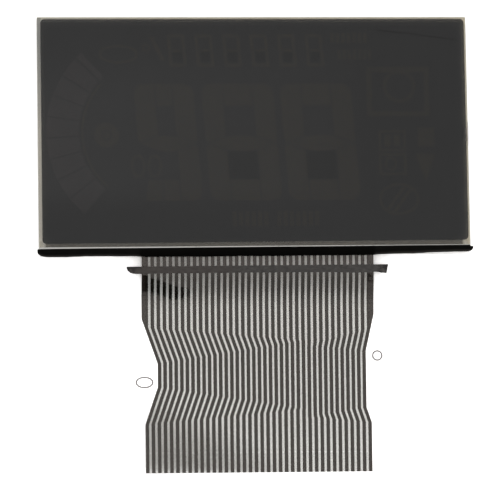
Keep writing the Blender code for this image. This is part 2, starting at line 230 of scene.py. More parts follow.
def ribbonHeight(v):
    # the flat facets that every layer of the ribbon comes down on
    start, length = ribbonPlan["dropStart"], ribbonPlan["dropLength"]
    facets = ribbonPlan["dropFacets"]
    step = min(max((v - start) / length, 0.0), 1.0) * facets
    k = min(int(step), facets - 1)
    shares = [(1 - t) ** 3 * (1 + 3 * t) for t in (k / facets, (k + 1) / facets)]
    return ribbonPlan["seat"] * (shares[0] + (shares[1] - shares[0]) * (step - k))


# Stage, light and camera

stagePlan = {
    "floorSize": 3.0,
    "floorDrop": 0.02 * mm,
    "floorColour": 0.88,               # as it lights the display
    "floorSeen": 1.75,                 # as the camera sees it
    "skyStrength": 1.0,
    "skyTint": (1.0, 0.995, 0.985),
    "dusk": (-0.06, -0.36, 0.40),      # from, to, and how much darker
    "dark": (-0.42, -0.64, 0.12),
}


def floorSurface(root, plan):
    seen = root.make("ShaderNodeLightPath", output="Is Camera Ray")
    pale, bright = [root.make("ShaderNodeBsdfDiffuse", None, {"Color": colour(*[tone] * 3)})
                    for tone in (plan["floorColour"], plan["floorSeen"])]
    return mixShaders(root, seen, pale, bright)


def makeFloor():
    bm = bmesh.new()
    bmesh.ops.create_grid(bm, x_segments=1, y_segments=1, size=stagePlan["floorSize"] / 2)
    bmesh.ops.translate(bm, vec=(0, 0, -stagePlan["floorDrop"]), verts=bm.verts)
    floor = show(objectFromBmesh("floor", bm))
    floor.data.materials.append(makeFinish("pale_floor", floorSurface, stagePlan))


def makeSky():
    # an even white surround, with a dark side low beyond the ribbon's end for the gloss
    world = bpy.data.worlds.new("soft_surround")
    bpy.context.scene.world = world
    world.use_nodes = True
    world.node_tree.nodes.clear()
    root = Field(world.node_tree)
    direction = root.make("ShaderNodeTexCoord", output="Generated").parts()
    mirrored = root.make("ShaderNodeLightPath", output="Is Glossy Ray")
    shade = 1.0
    for start, end, loss in (stagePlan["dusk"], stagePlan["dark"]):
        shade = shade - direction[1].ease(start, end) * mirrored * loss
    seen = root.make("ShaderNodeLightPath", output="Is Camera Ray")
    tint = colour(*stagePlan["skyTint"])
    sky = root.make("ShaderNodeBackground", None,
                    {"Color": blendColour(root, seen, tint, colour(1, 1, 1)),
                     "Strength": shade * stagePlan["skyStrength"]})
    root.make("ShaderNodeOutputWorld", None, {"Surface": sky})


cameraPlan = {
    "lens": 216.0,
    "sensor": 36.0,
    "clip": 0.01,
    "turns": (5.36, -5.30, -0.95),
    "aim": (0.0, -23.4 * mm, 0.0),
    "back": (-1.076 * mm, -0.329 * mm, 622.8 * mm),
}


def makeCamera():
    lens = bpy.data.cameras.new("camera")
    lens.lens = cameraPlan["lens"]
    lens.sensor_width = cameraPlan["sensor"]
    lens.clip_start = cameraPlan["clip"]
    camera = bpy.data.objects.new("camera", lens)
    turned = Euler([math.radians(angle) for angle in cameraPlan["turns"]], "XYZ")
    camera.rotation_euler = turned
    camera.location = Vector(cameraPlan["aim"]) + turned.to_matrix() @ Vector(cameraPlan["back"])
    bpy.context.scene.camera = show(camera)


makeFloor()
makeSky()
makeCamera()
bpy.context.scene.view_settings.view_transform = "Standard"
bpy.context.scene.cycles.transparent_max_bounces = 48     # the clear layers of the stack add up
print("stage, light and camera ready")


# Finishes: each function returns a surface for makeFinish

glassPlan = {
    "clear": colour(0.975, 0.964, 0.940),
    "rimClear": colour(0.950, 0.934, 0.904),
    # painted shade up the left margin
    "leftClear": colour(0.810, 0.808, 0.800),
    "ledgeClear": colour(0.998, 0.998, 0.996),
    "rimAcross": 44.0 * mm,
    "rimTop": 24.2 * mm,
    "rimLow": -24.3 * mm,
    "rimSoft": 0.1 * mm,
    "leftMiddle": 1.0 * mm,
    "leftReach": 18.0 * mm,
    "bevelTilts": ((0.50, 0.62), (0.90, 0.80)),    # the normal's height: from none to all
    "cutTilt": (0.50, 0.30),
    "cutEdge": colour(0.72, 0.71, 0.65),
    "cutShare": 0.92,
    "cutGlow": colour(0.75, 0.73, 0.61),
    "glowShare": 0.5,             # of the light on a cut side that passes it, scattered
    "ground": (colour(0.50, 0.495, 0.48), colour(0.56, 0.55, 0.53)),
    "bend": 1.50,
}


def clearGlass(root, plan, where):
    # a little yellower past the polariser, darker up the left side as painted shade, and clearest
    # along the ledge's own edge
    x, y, _ = where.parts()
    across, soft = plan["rimAcross"], plan["rimSoft"]
    rim = x.size().past(across, soft).larger(y.past(plan["rimTop"], soft))
    upward = y.ramp(plan["leftMiddle"], plan["leftMiddle"] + plan["leftReach"])
    left = (1 - x.past(-across, soft)) * upward
    ledge = 1 - y.past(plan["rimLow"], soft)
    clear = clearShader(root, plan["clear"])
    for share, tint in ((rim, "rimClear"), (left, "leftClear"), (ledge, "ledgeClear")):
        clear = mixShaders(root, share, clear, clearShader(root, plan[tint]))
    return clear


def glassSurface(root, plan):
    # clear faces, frosted cut sides that let some light through, and pale ground bevels
    where = place(root)
    flatness = root.make("ShaderNodeNewGeometry", output="Normal").parts()[2].size()
    rising, falling = [flatness.ease(*tilt) for tilt in plan["bevelTilts"]]
    low, soft = plan["rimLow"], plan["rimSoft"]
    side = flatness.ease(*plan["cutTilt"]) * (1 - where.parts()[1].ease(low, low - soft))
    fine = noise(root, where, 2600.0, 2.0)
    streaks = noise(root, where, 420.0, 4.0, 0.65)
    polished = mixShaders(root, outerGloss(root, plan["bend"]), clearGlass(root, plan, where),
                          glossShader(root, colour(1, 1, 1), 0.02 + 0.03 * streaks))
    tone = blendColour(root, side, blendColour(root, fine, *plan["ground"]), plan["cutEdge"])
    frosted = solidShader(root, tone, 0.55 + 0.2 * fine, normal=bump(root, fine, 0.01 * mm))
    glow = root.make("ShaderNodeBsdfTranslucent", None, {"Color": plan["cutGlow"]})
    rough = mixShaders(root, side * plan["glowShare"], frosted, glow)
    share = side * (plan["cutShare"] + 0.25 * (streaks - 0.5))
    return mixShaders(root, (rising * falling).larger(share), polished, rough)


polariserPlan = {
    "bend": 1.465,
    "through": colour(0.30, 0.30, 0.30),
    "shine": colour(0.985, 0.992, 1.0),
    "base": 0.965,
    # painted reflection: the left side made to mirror more
    "lit": 0.215,                 # how much more the left side mirrors
    "litAcross": (23.0 * mm, -37.0 * mm),
    "litPower": 0.55,
    "litLow": (-17.0 * mm, -10.0 * mm),
    "litHigh": (21.5 * mm, 6.5 * mm),
    "blankSoft": 0.05 * mm,
    "blankLoss": 0.10,
    "blankLean": -0.072,
    "largeBlanks": ((-5.40 * mm, 0.85 * mm), (10.98 * mm, 17.20 * mm)),
    "largeRows": (-9.25 * mm, -3.40 * mm),
    "smallFirst": -16.62 * mm,
    "smallStep": 5.76 * mm,
    "smallWidth": 1.85 * mm,
    "smallRows": (15.4 * mm, 17.6 * mm),
    "smallCount": 6,
    "hairGloss": 0.56,
    "hairFrom": (25.5 * mm, 22.0 * mm),
    "hairTo": (42.9 * mm, 19.8 * mm),
    "hairRise": 0.12 * mm,
    "hairWidth": 0.13 * mm,
}


def hairLine(plan, where):
    # a shallow arc between two points, as a thin mask
    x0, y0 = plan["hairFrom"]
    x1, y1 = plan["hairTo"]
    x, y, _ = where.parts()
    t = (x - x0) / (x1 - x0)
    line = y0 + t * (y1 - y0) + 4 * plan["hairRise"] * t * (1 - t)
    width = plan["hairWidth"]
    near = (y - line).size().ease(width, width * 0.3)
    return near * t.ease(-0.005, 0.0) * t.ease(1.005, 1.0)


def blankFields(plan, where):
    # the darker panes inside the lower loops of the digits, large and small
    x, y, _ = where.parts()
    soft, lean = plan["blankSoft"], plan["blankLean"]
    low, high = plan["largeRows"]
    upright = x - (y - low) * lean
    first, second = [upright.between(a, b, soft) for a, b in plan["largeBlanks"]]
    large = (first + second) * y.between(low, high, soft)
    low, high = plan["smallRows"]
    step, width = plan["smallStep"], plan["smallWidth"]
    number = (x - (y - low) * lean - plan["smallFirst"]) / step
    small = 1 - (number.math("FRACT", number) * step).past(width, soft)
    small = small * number.between(0.0, plan["smallCount"] - 0.5, 0.01)
    return large.larger(small * y.between(low, high, soft))


def mirrorLevel(plan, where, smear):
    # painted reflection: brighter towards the left, less so along the top and bottom
    x, y, _ = where.parts()
    rows = y.ease(*plan["litLow"]) * 0.8 + 0.2
    rows = rows * (0.35 + 0.65 * y.ease(*plan["litHigh"]))
    lit = x.ramp(*plan["litAcross"]) ** plan["litPower"] * rows
    level = plan["base"] * (1 + lit * plan["lit"]) * (0.97 + 0.06 * smear)
    level = level * (1 - hairLine(plan, where) * (1 - plan["hairGloss"]))
    return level * (1 - blankFields(plan, where) * plan["blankLoss"])


def polariserSurface(root, plan):
    # the sheet over the glass: dark, see-through and glossy
    where = place(root)
    smear = noise(root, where, 60.0, 5.0, 0.6)
    shine = glossShader(root, plan["shine"], 0.05 + 0.06 * smear)
    mirror = outerGloss(root, plan["bend"]) * mirrorLevel(plan, where, smear)
    return mixShaders(root, mirror, clearShader(root, plan["through"]), shine)


sealPlan = {
    "lowEdge": -21.7 * mm,
    "soft": 0.3 * mm,
    "thin": 0.11,
    "thick": 0.79,
    "side": (colour(0.90, 0.86, 0.78), colour(0.97, 0.94, 0.87)),
    "left": (colour(0.81, 0.82, 0.83), colour(0.90, 0.91, 0.92)),
    "low": (colour(0.42, 0.42, 0.40), colour(0.50, 0.50, 0.47)),
    "leftward": (-20.0 * mm, -43.0 * mm),
    "polariserShade": colour(0.20, 0.19, 0.17),
    "coverShare": 0.95,
    "coverAcross": (44.1 * mm, 43.7 * mm),     # where the polariser begins, and full shade
    "coverTop": (24.15 * mm, 23.75 * mm),
    "cornerAcross": (43.0 * mm, 43.8 * mm),    # thicker again in the lower corners
    "cornerShare": 0.44,
    "specks": colour(0.75, 0.74, 0.70),
    "clear": colour(0.93, 0.91, 0.87),
}


def sealSurface(root, plan):
    # beige epoxy with glass-fibre spacers in it, thinner and greyer above the ledge apart from its
    # corners, with painted shade where the polariser covers it
    where = place(root)
    specks = noise(root, where, 5200.0, 1.0).ease(0.60, 0.72)
    cloud = noise(root, where, 300.0, 3.0)
    x, y, _ = where.parts()
    side = y.past(plan["lowEdge"], plan["soft"])
    corner = (1 - side) * x.size().ease(*plan["cornerAcross"])
    warm, cool, low = [blendColour(root, cloud, *plan[key]) for key in ("side", "left", "low")]
    tone = blendColour(root, side + corner, low,
                       blendColour(root, x.ease(*plan["leftward"]), warm, cool))
    # painted shade where the polariser lies over the seal
    polariserShade = x.size().ease(*plan["coverAcross"]) * y.ease(*plan["coverTop"])
    tone = blendColour(root, polariserShade * side * plan["coverShare"], tone, plan["polariserShade"])
    body = solidShader(root, blendColour(root, specks, tone, plan["specks"]), 0.5, 0.0)
    share = plan["thin"] + plan["thick"] * side + plan["cornerShare"] * corner
    return mixShaders(root, share + 0.05 * cloud, clearShader(root, plan["clear"]), body)


# plain opaque finishes: the noise's scale and detail, two tones, and the roughness with what
# the grain adds to it
grainyPlans = {
    "rearPolariser": {
        "grain": (900.0, 3.0), "roughness": (0.25, 0.1), "specular": 0.35,
        "tones": (colour(0.010, 0.010, 0.011), colour(0.016, 0.016, 0.016))},
    "silver": {
        "grain": (6000.0, 2.0), "roughness": (0.35, 0.2), "metallic": 0.6, "relief": 0.004 * mm,
        "tones": (colour(0.42, 0.42, 0.40), colour(0.66, 0.66, 0.64))},
    "burr": {
        "grain": (5200.0, 2.0), "roughness": (0.5, 0.0), "relief": 0.01 * mm,
        "tones": (colour(0.14, 0.125, 0.125), colour(0.26, 0.24, 0.24))},
    "chip": {
        "grain": (8000.0, 2.0), "roughness": (0.4, 0.0),
        "tones": (colour(0.03, 0.03, 0.028), colour(0.10, 0.10, 0.095))},
}


def grainySurface(root, plan):
    grain = noise(root, place(root), *plan["grain"])
    base, added = plan["roughness"]
    normal = bump(root, grain, plan["relief"]) if "relief" in plan else None
    return solidShader(root, blendColour(root, grain, *plan["tones"]),
                       base + added * grain if added else base,
                       plan.get("specular", 0.5), plan.get("metallic", 0.0), normal)


# layers that are mostly see-through
layerPlans = {
    "crystal": {"clear": colour(0.90, 0.90, 0.89), "haze": 0.03, "body": colour(0.1, 0.1, 0.09)},
    "bond": {"clear": colour(0.997, 0.997, 0.996), "haze": 0.004,
             "body": colour(0.62, 0.61, 0.59)},
}

electrodePlans = {
    "electrode": {"clear": colour(0.97, 0.97, 0.95), "share": 0.8,
                  "tones": (colour(0.70, 0.48, 0.04), colour(0.84, 0.62, 0.10))},
    "gaugeElectrode": {"clear": colour(0.97, 0.97, 0.95), "share": 0.97,
                       "tones": (colour(0.86, 0.66, 0.74), colour(0.95, 0.76, 0.84))},
}


def layerSurface(root, plan):
    cloud = noise(root, place(root), 180.0, 4.0)
    body = solidShader(root, plan["body"], 0.5, 0.0)
    return mixShaders(root, plan["haze"] * (0.7 + 0.6 * cloud), clearShader(root, plan["clear"]),
                      body)


def electrodeSurface(root, plan):
    # the conductor on the pane, seen only as a slight change of tone
    tone = blendColour(root, noise(root, place(root), 130.0, 3.0), *plan["tones"])
    return mixShaders(root, plan["share"], clearShader(root, plan["clear"]),
                      solidShader(root, tone, 0.4, 0.0))


resinPlan = {
    "clear": colour(0.93, 0.92, 0.93),
    "body": colour(0.55, 0.53, 0.56),
    "bend": 1.45,
    "haze": 0.03,
}


def resinSurface(root, plan):
    # the clear drop on the filling port
    cloud = noise(root, place(root), 700.0, 3.0)
    share = (outerGloss(root, plan["bend"]) + plan["haze"] + 0.05 * cloud).smaller(1.0)
    return mixShaders(root, share, clearShader(root, plan["clear"]),
                      solidShader(root, plan["body"], 0.10 + 0.1 * cloud))


siliconePlan = {
    "deep": colour(0.0004, 0.0003, 0.0001),
    "pale": colour(0.0015, 0.0014, 0.0010),
    "rim": colour(0.022, 0.021, 0.019),
    "beside": colour(0.0045, 0.0043, 0.0038),
    "ribbonFrom": (24.1 * mm, 24.7 * mm),
    "rimTurn": (0.35, 0.85),
    "ripple": 0.05 * mm,
    "grain": 0.004 * mm,
}


def siliconeSurface(root, plan):
    # black, thin enough at its lower rim beside the ribbon to look grey there
    where = place(root)
    ripple = noise(root, where, 700.0, 3.0)
    grain = noise(root, where, 6000.0, 2.0)
    facing = root.make("ShaderNodeNewGeometry", output="Normal").parts()
    away = (where.parts()[0] - ribbonPlan["origin"][0]).size()
    beside = away.ease(*plan["ribbonFrom"])
    rim = (-facing[1]).ease(*plan["rimTurn"]) * beside
    tone = blendColour(root, ripple, plan["deep"], plan["pale"])
    tone = blendColour(root, beside * ripple, tone, plan["beside"])
    tone = blendColour(root, rim, tone, plan["rim"])
    height = ripple * plan["ripple"] + grain * plan["grain"]
    return solidShader(root, tone, 0.42 + 0.15 * ripple, 0.03, normal=bump(root, height))


filmPlan = {
    "bend": 1.71,
    "clear": colour(0.995, 0.995, 0.995),
    # the grey in the printed field's gaps is painted shade, for the traces' shadow on the floor
    # beneath
    "printed": colour(0.787, 0.787, 0.781),
    "shine": colour(1.0, 0.915, 0.855),
    "swell": 0.02 * mm,
    # how much of that painted shade the gaps get along and across the ribbon, less where the ribbon
    # stands raised: places in mm, and what the value is there
    "strength": [(2.0, 1.0), (3.0, 0.62), (5.0, 0.95), (7.5, 0.92), (9.5, 0.80), (11.5, 1.0)],
    "strengthRight": [(-20.0, 0.0), (12.0, 1.0)],
    "strengthLow": [(19.0, 1.0), (27.0, 0.935), (37.0, 0.935), (39.5, 0.915), (41.5, 0.915),
                    (42.5, 0.955)],
}


def lineThrough(field, knots):
    # a value that follows a bent line, as a sum of ramps
    value = knots[0][1]
    for (place0, value0), (place1, value1) in zip(knots, knots[1:]):
        value = field.ramp(place0 * mm, place1 * mm) * (value1 - value0) + value
    return value


# where the film's gloss is taken away: a painted dark reflection beside the tape's left end, and a
# small stain
reflectionAndStainPlan = {
    "soft": 0.12 * mm,
    "ragged": 0.5 * mm,
    "loss": 0.97,                              # of the film's gloss
    "top": [(-25.0, 5.2), (-19.4, 7.0), (-16.9, 7.9), (-13.1, 8.7)],
    "low": [(-25.0, 8.9), (-21.9, 9.3), (-20.6, 9.6), (-19.4, 10.1), (-18.1, 10.6),
            (-15.6, 10.4), (-13.1, 9.7)],
    "end": (-12.4 * mm, -16.2 * mm),
    "speckRows": (8.2 * mm, 9.0 * mm),
    "stainAcross": (22.5 * mm, 24.0 * mm),     # a small one beside the tape's right end
    "stainRows": (5.3 * mm, 7.2 * mm),
    "stainShare": 0.8,
}


def darkReflectionAndStain(root, plan, where):
    # painted dark reflection beside the tape's left end, where the film's gloss is taken away apart
    # from a few specks, and a small stain beside the tape's right end
    u, v = ribbonPlace(where)
    rough = (noise(root, where, 900.0, 3.0) - 0.5) * plan["ragged"]
    top, low = [lineThrough(u, plan[key]) * mm + rough for key in ("top", "low")]
    soft = plan["soft"]
    inside = (v - top).ease(-soft, soft) * (low - v).ease(-2.6 * soft, 3.4 * soft)
    specks = noise(root, where, 2600.0, 1.0).ease(0.66, 0.70) * v.ease(*plan["speckRows"])
    stain = u.between(*plan["stainAcross"], 2 * soft)
    stain = stain * v.between(*plan["stainRows"], 3 * soft)
    stain = stain * noise(root, where, 1300.0, 3.0).ease(0.46, 0.60) * plan["stainShare"]
    return (inside * u.ease(*plan["end"]) * (1 - specks)).larger(stain)


fieldPlan = {
    "edge": 23.3 * mm,
    "soft": 0.12 * mm,
    # on the left and the right, how far in its neck is, and where it begins and ends
    "necks": ((2.65 * mm, (16.3, 23.8), (28.7, 36.4)), (1.05 * mm, (16.8, 21.4), (33.1, 36.2))),
}


def printedField(where):
    # 1 over the field of printed traces, 0 in the bare margins beside it
    u, v = ribbonPlace(where)
    edge, soft = fieldPlan["edge"], fieldPlan["soft"]
    left, right = [edge - (v.ramp(a * mm, b * mm) - v.ramp(c * mm, d * mm)) * depth
                   for depth, (a, b), (c, d) in fieldPlan["necks"]]
    return (left + u).ease(-soft, soft) * (right - u).ease(-soft, soft)


def filmSurface(root, plan):
    where = place(root)
    swell = noise(root, where, 90.0, 3.0)
    dust = noise(root, where, 2400.0, 2.0).ease(0.70, 0.78)
    shine = root.make("ShaderNodeBsdfGlossy", None,
                      {"Color": plan["shine"], "Roughness": 0.06 + 0.05 * swell + 0.2 * dust,
                       "Normal": bump(root, swell * plan["swell"])})
    u, v = ribbonPlace(where)
    # painted shade in the printed field's gaps, weaker where the ribbon is raised and its own
    # shadow falls
    raised = 1 - lineThrough(v, plan["strength"])
    strength = 1 - raised * (0.5 + lineThrough(u, plan["strengthRight"]))
    strength = strength * lineThrough(v, plan["strengthLow"])
    clear = mixShaders(root, printedField(where) * strength,
                       clearShader(root, plan["clear"]), clearShader(root, plan["printed"]))
    mirror = outerGloss(root, plan["bend"])
    # painted dark reflection: the film's gloss taken away beside the tape
    mirror = mirror * (1 - darkReflectionAndStain(root, reflectionAndStainPlan, where) * reflectionAndStainPlan["loss"])
    return mixShaders(root, mirror, clear, shine)


coatPlan = {
    "field": colour(0.997, 0.997, 0.996),
    "margin": colour(0.998, 0.998, 0.998),
    "body": colour(0.62, 0.61, 0.59),
    "haze": 0.004,
}


def coatSurface(root, plan):
    # all but clear, with a trace of haze over the printed field
    where = place(root)
    field = printedField(where)
    clear = mixShaders(root, field, clearShader(root, plan["margin"]),
                       clearShader(root, plan["field"]))
    share = field * plan["haze"] * (0.6 + 0.8 * noise(root, where, 400.0, 4.0))
    return mixShaders(root, share, clear, solidShader(root, plan["body"], 0.6, 0.0))


inkPlan = {
    "tones": (colour(0.005, 0.0035, 0.0025), colour(0.012, 0.0085, 0.0065)),
    "patch": colour(0.008, 0.0065, 0.005),
    "relief": 0.004 * mm,
}


def inkSurface(root, plan):
    where = place(root)
    grain = noise(root, where, 5200.0, 3.0, 0.7)
    patch = noise(root, where, 140.0, 3.0).ease(0.35, 0.7) * 0.5
    tone = blendColour(root, patch, blendColour(root, grain, *plan["tones"]), plan["patch"])
    return solidShader(root, tone, 0.5 + 0.25 * grain, 0.05,
                       normal=bump(root, grain, plan["relief"]))


tapeLook = {
    "grain": (0.35, 1.6, 1.0),                 # stretches the fibres along the tape
    "fibres": (colour(0.018, 0.016, 0.015), colour(0.066, 0.062, 0.059)),
    "pale": colour(0.072, 0.068, 0.064),
    "deep": colour(0.018, 0.017, 0.017),
    "brown": colour(0.044, 0.033, 0.028),
    "brownAcross": (-2.0 * mm, -9.0 * mm),
    "smudge": colour(0.009, 0.008, 0.008),
    "smudgeAcross": (23.7 * mm, 24.6 * mm),
    "relief": 0.012 * mm,
}


def tapeSurface(root, plan):
    # fibrous and blotchy, browner on its left half, smudged at both ends
    where = place(root)
    across = where.parts()[0] - ribbonPlan["origin"][0]
    along = root.make("ShaderNodeMapping", None, {"Vector": where, "Scale": plan["grain"]})
    fibres = noise(root, along, 3200.0, 4.0, 0.7)
    blotch = noise(root, where, 1500.0, 3.0, 0.6)
    smudge = noise(root, where, 900.0, 2.0).ease(0.48, 0.58)
    ends = across.size().ease(*plan["smudgeAcross"]) * smudge
    tone = blendColour(root, fibres.ease(0.25, 0.75), *plan["fibres"])
    for share, tint in ((blotch.ease(0.52, 0.72) * 0.6, "pale"),
                        (blotch.ease(0.48, 0.30) * 0.6, "deep"),
                        (across.ease(*plan["brownAcross"]) * 0.35, "brown"),
                        (ends * 0.75, "smudge")):
        tone = blendColour(root, share, tone, plan[tint])
    return solidShader(root, tone, 0.5 + 0.3 * fibres, 0.3,
                       normal=bump(root, fibres, plan["relief"]))


finishes = {key: makeFinish(name, surface, plan) for key, name, surface, plan in (
    ("glass", "cut_glass", glassSurface, glassPlan),
    ("polariser", "polariser_sheet", polariserSurface, polariserPlan),
    ("rearPolariser", "rear_polariser_sheet", grainySurface, grainyPlans["rearPolariser"]),
    ("seal", "cured_seal", sealSurface, sealPlan),
    ("crystal", "liquid_crystal", layerSurface, layerPlans["crystal"]),
    ("silver", "silver_paste", grainySurface, grainyPlans["silver"]),
    ("resin", "clear_drop", resinSurface, resinPlan),
    ("silicone", "black_silicone", siliconeSurface, siliconePlan),
    ("film", "clear_polyester", filmSurface, filmPlan),
    ("coat", "cover_coat", coatSurface, coatPlan),
    ("bond", "heat_seal_coat", layerSurface, layerPlans["bond"]),
    ("ink", "graphite_ink", inkSurface, inkPlan),
    ("tape", "dark_tape", tapeSurface, tapeLook),
    ("electrode", "segment_coating", electrodeSurface, electrodePlans["electrode"]),
    ("gaugeElectrode", "gauge_coating", electrodeSurface, electrodePlans["gaugeElectrode"]),
    ("burr", "punched_edge", grainySurface, grainyPlans["burr"]),
    ("chip", "chipped_bevel", grainySurface, grainyPlans["chip"]))}

nodeFinishes = {
    "rear_polariser": "rearPolariser", "rear_glass": "glass", "perimeter_seal": "seal",
    "liquid_crystal": "crystal", "crossover_dot_left": "silver", "crossover_dot_right": "silver",
    "end_seal": "resin", "front_glass": "glass", "front_polariser": "polariser",
    "ledge_bead": "silicone", "ledge_bond": "bond", "tail_bond": "bond",
    "ribbon_cover_coat": "coat", "ribbon_film": "film", "cross_tape": "tape",
}

for name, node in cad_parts.items():
    node.data.materials.clear()
    node.data.materials.append(finishes[nodeFinishes.get(name, "ink")])
print("finishes ready:", len(finishes))


# Pieces

bevelDepth = 0.3 * mm             # of the ground bevel above the ledge
layerGap = 0.001 * mm             # between pieces that lie on each other


def settle(piece, slotName, *nodes):
    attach(piece, "root")
    if nodes:
        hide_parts(*nodes)


def span(node, axis):
    # where a node begins and ends along an axis
    return [corner[axis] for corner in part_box(node)]


def pieceFromBmesh(name, bm, finish, smoothAngle=None):
    bmesh.ops.recalc_face_normals(bm, faces=bm.faces)
    piece = show(objectFromBmesh(name, bm))
    if smoothAngle is not None:
        piece.data.shade_smooth()
        piece.data.set_sharp_from_angle(angle=math.radians(smoothAngle))
    piece.data.materials.append(finishes[finish])
    return piece


def skinRings(bm, rings):
    # faces between each ring of vertices and the next, and one over each end
    for one, two in zip(rings, rings[1:]):
        for n in range(len(one)):
            m = (n + 1) % len(one)
            bm.faces.new((one[n], one[m], two[m], two[n]))
    bm.faces.new(rings[0])
    bm.faces.new(rings[-1])


def waves(where, parts):
    # a sum of sine waves: how fast each one runs, where it starts, and its share
    return sum(share * math.sin(where * pace + start) for pace, start, share in parts)


def valueAt(stops, where):
    # a length that changes smoothly from stop to stop, given in mm
    for (s0, d0), (s1, d1) in zip(stops, stops[1:]):
        if where <= s1:
            t = max(0.0, (where - s0) / (s1 - s0))
            return (d0 + (d1 - d0) * t * t * (3 - 2 * t)) * mm
    return stops[-1][1] * mm


def smoothCopy(node, name, finish, smoothAngle, slotName):
    # the node's own form, with its facets blended
    bm = bmesh.new()
    bm.from_mesh(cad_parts[node].data)
    bmesh.ops.remove_doubles(bm, verts=bm.verts, dist=1e-7)
    settle(pieceFromBmesh(name, bm, finish, smoothAngle), slotName, node)


smoothCopy("ribbon_film", "ribbon_film_sheet", "film", 20, "clear_film")
smoothCopy("end_seal", "port_drop", "resin", 60, "clear_resin")


# Node trees that repeat a flat pattern, or run a rim round a hole

def newTree(name, inputs):
    # inputs by name, each with its kind of socket
    tree = bpy.data.node_groups.new(name, "GeometryNodeTree")
    for label, kind in inputs.items():
        tree.interface.new_socket(label, in_out="INPUT", socket_type="NodeSocket" + kind)
    tree.interface.new_socket("Geometry", in_out="OUTPUT", socket_type="NodeSocketGeometry")
    root = Field(tree)
    start = root.make("NodeGroupInput").socket.node
    return root, {label: Field(tree, start.outputs[label]) for label in inputs}


def finishTree(root, shape, material):
    real = root.make("GeometryNodeRealizeInstances", None, {"Geometry": shape})
    coated = root.make("GeometryNodeSetMaterial", None, {"Geometry": real, "Material": material})
    root.make("NodeGroupOutput", None, {"Geometry": coated})
    return root.tree


def repeatTree():
    root, given = newTree("repeat_plates", {
        "Pattern": "Object", "Count": "Int", "Start": "Vector", "Step": "Vector",
        "First Turn": "Float", "Turn": "Float", "Thickness": "Float", "Material": "Material"})
    line = root.make("GeometryNodeMeshLine", {"mode": "OFFSET", "count_mode": "TOTAL"},
                     {"Count": given["Count"], "Start Location": given["Start"],
                      "Offset": given["Step"]})
    number = root.make("GeometryNodeInputIndex")
    turn = given["First Turn"] + number * given["Turn"]
    turned = root.make("ShaderNodeCombineXYZ", None, {"Z": turn})
    pattern = root.make("GeometryNodeObjectInfo", None, {"Object": given["Pattern"]},
                        output="Geometry")
    copies = root.make("GeometryNodeInstanceOnPoints", None,
                       {"Points": line, "Instance": pattern, "Rotation": turned})
    flat = root.make("GeometryNodeRealizeInstances", None, {"Geometry": copies})
    raised = root.make("GeometryNodeExtrudeMesh", {"mode": "FACES"},
                       {"Mesh": flat, "Offset Scale": given["Thickness"], "Individual": False})
    base = root.make("GeometryNodeFlipFaces", None, {"Mesh": flat})
    both = root.make("GeometryNodeJoinGeometry", None, {"Geometry": [raised, base]})
    solid = root.make("GeometryNodeMergeByDistance", None, {"Geometry": both, "Distance": 1e-7})
    return finishTree(root, solid, given["Material"])


def rimTree():
    root, given = newTree("rim_round_hole", {
        "Across": "Float", "Along": "Float", "Width": "Float", "Height": "Float",
        "Middle": "Vector", "Turn": "Float", "Material": "Material"})
    ring = root.make("GeometryNodeCurvePrimitiveCircle", {"mode": "RADIUS"},
                     {"Resolution": 72, "Radius": given["Across"] * 0.5})
    x, y, _ = root.make("GeometryNodeInputPosition").parts()
    stretched = root.make("ShaderNodeCombineXYZ", None,
                          {"X": x * given["Along"] / given["Across"], "Y": y})
    oval = root.make("GeometryNodeSetPosition", None, {"Geometry": ring, "Position": stretched})
    section = root.make("GeometryNodeCurvePrimitiveCircle", {"mode": "RADIUS"},
                        {"Resolution": 10, "Radius": given["Width"] * 0.5})
    tube = root.make("GeometryNodeCurveToMesh", None, {"Curve": oval, "Profile Curve": section})
    x, y, z = root.make("GeometryNodeInputPosition").parts()
    lowered = root.make("ShaderNodeCombineXYZ", None,
                        {"X": x, "Y": y, "Z": z * given["Height"] / given["Width"]})
    rim = root.make("GeometryNodeSetPosition", None, {"Geometry": tube, "Position": lowered})
    turned = root.make("ShaderNodeCombineXYZ", None, {"Z": given["Turn"]})
    placed = root.make("GeometryNodeTransform", None,
                       {"Geometry": rim, "Translation": given["Middle"], "Rotation": turned})
    smooth = root.make("GeometryNodeSetShadeSmooth", None, {"Geometry": placed})
    return finishTree(root, smooth, given["Material"])


def grow(name, tree, values, slotName):
    piece = show(bpy.data.objects.new(name, bpy.data.meshes.new(name)))
    modifier = piece.modifiers.new("Make", "NODES")
    modifier.node_group = tree
    for item in tree.interface.items_tree:
        if item.in_out == "INPUT" and item.name in values:
            modifier[item.identifier] = values[item.name]
    graph = bpy.context.evaluated_depsgraph_get()
    made = bpy.data.meshes.new_from_object(piece.evaluated_get(graph), depsgraph=graph)
    piece.modifiers.remove(modifier)
    piece.data = made
    made.name = name
    settle(piece, slotName)


plates = repeatTree()
rims = rimTree()


def flatPattern(name, outlines):
    # a guide for the trees: flat faces, each from its outline in mm
    bm = bmesh.new()
    for outline in outlines:
        face = bm.faces.new([bm.verts.new((x * mm, y * mm, 0.0)) for x, y in outline])
        face.normal_update()
        if face.normal.z < 0:
            face.normal_flip()
    return objectFromBmesh(name, bm)


# Segments, on the inner face of the front glass, in mm and degrees

